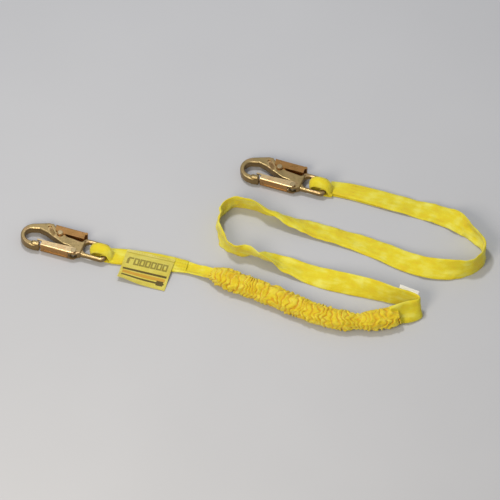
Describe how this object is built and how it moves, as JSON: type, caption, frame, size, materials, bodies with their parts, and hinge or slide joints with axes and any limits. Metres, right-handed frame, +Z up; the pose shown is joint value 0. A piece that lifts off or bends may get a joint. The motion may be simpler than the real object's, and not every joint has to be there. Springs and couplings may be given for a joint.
{
  "type": "shock absorbing lanyard",
  "caption": "Webbing fall protection lanyard lying in loose bends, with a gathered shock absorber, a sewn-on label and a self-locking snap hook at each end.",
  "frame": {"origin": "floor level under the middle of the whole lanyard's bounding box", "axes": "+X along the lanyard's longer side, away from the bowls of the two hooks; +Z up from the floor it lies on"},
  "size_m": [0.6942, 0.3334, 0.0378],
  "materials": {
    "webbing": "flat tubular webbing, plain weave, bright yellow",
    "jacket": "gathered tubular webbing, bright yellow",
    "core": "undyed partially oriented yarn webbing",
    "thread": "bonded polyester thread, yellow",
    "hook_steel": "forged steel, yellow zinc plated",
    "channel_steel": "stamped steel, yellow zinc plated",
    "rivet_steel": "steel rivet, worn bright",
    "spring_steel": "spring wire",
    "label": null,
    "tag": "white woven tag"
  },
  "bodies": {
    "lanyard": {"absorber_core": "core", "absorber_jacket": "jacket", "absorber_stitching": "thread", "eye_loop_a": "webbing", "eye_loop_b": "webbing", "inspection_tag": "tag", "label_hem": "label", "label_stitching": "thread", "main_strap": "webbing", "near_strap": "webbing", "sewn_tail_a": "webbing", "sewn_tail_b": "webbing", "tail_stitching_a": "thread", "tail_stitching_b": "thread", "turnback": "webbing", "wear_pad_a": "webbing", "wear_pad_b": "webbing"},
    "label_flap": {"label_flap": "label"},
    "hook_a": {"hook_a_body": "hook_steel", "hook_a_gate_rivet": "rivet_steel", "hook_a_gate_spring": "spring_steel", "hook_a_lever_rivet": "rivet_steel", "hook_a_lever_spring": "spring_steel"},
    "hook_a_gate": {"hook_a_gate": "channel_steel"},
    "hook_a_lock_lever": {"hook_a_lock_lever": "channel_steel"},
    "hook_b": {"hook_b_body": "hook_steel", "hook_b_gate_rivet": "rivet_steel", "hook_b_gate_spring": "spring_steel", "hook_b_lever_rivet": "rivet_steel", "hook_b_lever_spring": "spring_steel"},
    "hook_b_gate": {"hook_b_gate": "channel_steel"},
    "hook_b_lock_lever": {"hook_b_lock_lever": "channel_steel"}
  },
  "joints": [
    {"name": "hook_a_swing", "type": "hinge", "parent": "lanyard", "child": "hook_a", "pos_m": [-0.21906, -0.0167, 0.009], "axis": [0.3338, 0.9426, 0], "range_deg": [0, 150]},
    {"name": "hook_a_gate_open", "type": "hinge", "parent": "hook_a", "child": "hook_a_gate", "pos_m": [-0.26694, -0.01619, 0.009], "axis": [0, 0, -1], "range_deg": [0, 27], "stiffness_Nm_per_rad": 0.15, "springref_deg": -20.05, "deforming": ["hook_a_gate_spring"]},
    {"name": "hook_a_lever_squeeze", "type": "hinge", "parent": "hook_a", "child": "hook_a_lock_lever", "pos_m": [-0.28654, 0.01833, 0.009], "axis": [0, 0, -1], "range_deg": [0, 5], "stiffness_Nm_per_rad": 0.15, "springref_deg": -20.05, "deforming": ["hook_a_lever_spring"]},
    {"name": "hook_b_swing", "type": "hinge", "parent": "lanyard", "child": "hook_b", "pos_m": [0.10694, 0.1113, 0.009], "axis": [0.3338, 0.9426, 0], "range_deg": [0, 150]},
    {"name": "hook_b_gate_open", "type": "hinge", "parent": "hook_b", "child": "hook_b_gate", "pos_m": [0.05906, 0.11181, 0.009], "axis": [0, 0, -1], "range_deg": [0, 27], "stiffness_Nm_per_rad": 0.15, "springref_deg": -20.05, "deforming": ["hook_b_gate_spring"]},
    {"name": "hook_b_lever_squeeze", "type": "hinge", "parent": "hook_b", "child": "hook_b_lock_lever", "pos_m": [0.03946, 0.14633, 0.009], "axis": [0, 0, -1], "range_deg": [0, 5], "stiffness_Nm_per_rad": 0.15, "springref_deg": -20.05, "deforming": ["hook_b_lever_spring"]},
    {"name": "label_lift", "type": "hinge", "parent": "lanyard", "child": "label_flap", "pos_m": [-0.188, -0.011, 0.00735], "axis": [-0.9588, 0.284, 0], "range_deg": [0, 110]}
  ],
  "couplings": [
    {"joint": "hook_a_lever_squeeze", "follows": "hook_a_gate_open", "ratio": 0.18518},
    {"joint": "hook_b_lever_squeeze", "follows": "hook_b_gate_open", "ratio": 0.18518}
  ]
}
